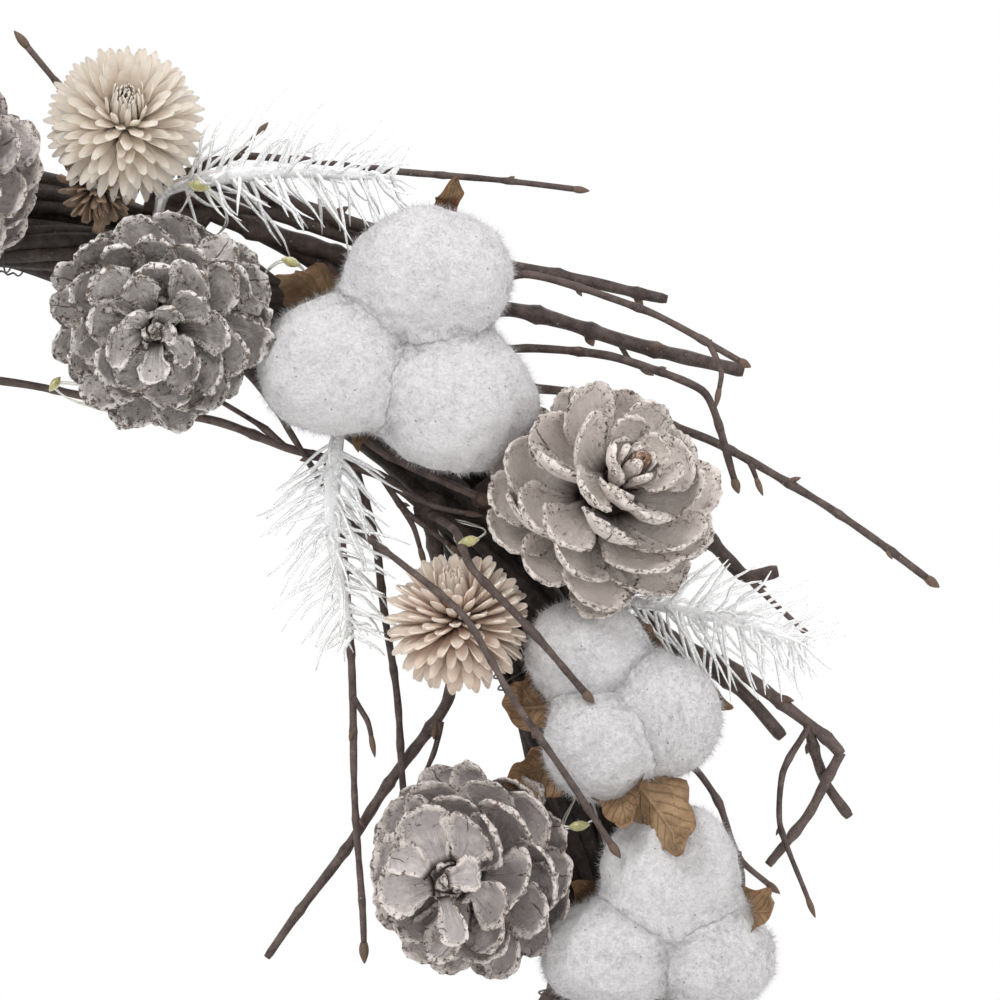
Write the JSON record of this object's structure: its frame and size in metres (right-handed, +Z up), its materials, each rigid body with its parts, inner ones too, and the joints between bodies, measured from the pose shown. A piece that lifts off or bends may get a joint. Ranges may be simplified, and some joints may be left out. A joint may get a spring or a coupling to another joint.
{
  "type": "lighted wreath of cones, cotton and twigs",
  "caption": "Round twig wreath with whitewashed pine cones, cotton bolls, dried flowers, frosted needle sprigs and a battery-lit lamp wire, hung on a wall by a wire loop.",
  "frame": {"origin": "on the wall plane, at the height where the top of the hanger's eye bears on its nail", "axes": "+Z up, +X to the viewer's right, -Y out of the wall towards the viewer"},
  "size_m": [0.4946, 0.0773, 0.4863],
  "materials": {
    "ring_vine": "dark brown bark, matt, with fine ridges",
    "lamp_wire": "clear insulated wire pair with yellow-green resin lamps",
    "hanger_wire": "bare steel wire",
    "battery_case": "dark brown moulded plastic, fine grain",
    "battery_cell": "plain printed jacket, no label",
    "twig": "grey-brown bark with pale pores, dry tan bracts",
    "pine_cone": "whitewashed, worn to brown at the scale edges",
    "cotton": "fine white lint with a little sparkle",
    "dried_petal": "dry matt beige petals, darker in the lower tiers",
    "needle": "frosted translucent needles"
  },
  "bodies": {
    "wreath": {"ring_vine_1": "ring_vine", "ring_vine_2": "ring_vine", "ring_vine_3": "ring_vine", "light_string": "lamp_wire", "hanger_wire": "hanger_wire", "battery_case": "battery_case", "battery_lid": "battery_case", "battery_cell_1": "battery_cell", "battery_cell_2": "battery_cell", "twig_spray_01": "twig", "twig_spray_02": "twig", "twig_spray_03": "twig", "twig_spray_04": "twig", "twig_spray_05": "twig", "twig_spray_06": "twig", "twig_spray_07": "twig", "twig_spray_08": "twig", "twig_spray_09": "twig", "twig_spray_10": "twig", "twig_spray_11": "twig", "inner_twigs": "twig", "pine_cone_01": "pine_cone", "pine_cone_02": "pine_cone", "pine_cone_03": "pine_cone", "pine_cone_04": "pine_cone", "pine_cone_05": "pine_cone", "pine_cone_06": "pine_cone", "pine_cone_07": "pine_cone", "pine_cone_08": "pine_cone", "pine_cone_09": "pine_cone", "pine_cone_10": "pine_cone", "pine_cone_11": "pine_cone", "pine_cone_12": "pine_cone", "cotton_boll_01": "cotton", "cotton_boll_02": "cotton", "cotton_boll_03": "cotton", "cotton_boll_04": "cotton", "cotton_boll_05": "cotton", "cotton_boll_06": "cotton", "cotton_boll_07": "cotton", "cotton_boll_08": "cotton", "cotton_boll_09": "cotton", "cotton_boll_10": "cotton", "cotton_boll_11": "cotton", "dried_flower_1": "dried_petal", "dried_flower_2": "dried_petal", "dried_flower_3": "dried_petal", "dried_flower_4": "dried_petal", "dried_flower_5": "dried_petal", "dried_flower_6": "dried_petal", "needle_sprig_1": "needle", "needle_sprig_2": "needle", "needle_sprig_3": "needle", "needle_sprig_4": "needle", "needle_sprig_5": "needle", "needle_sprig_6": "needle", "needle_sprig_7": "needle", "needle_sprig_8": "needle", "needle_sprig_9": "needle"},
    "switch": {"switch_knob": "battery_case"}
  },
  "joints": [
    {"name": "switch_slide", "type": "slide", "parent": "wreath", "child": "switch", "axis": [1, 0, 0], "range_m": [0, 0.003]}
  ]
}
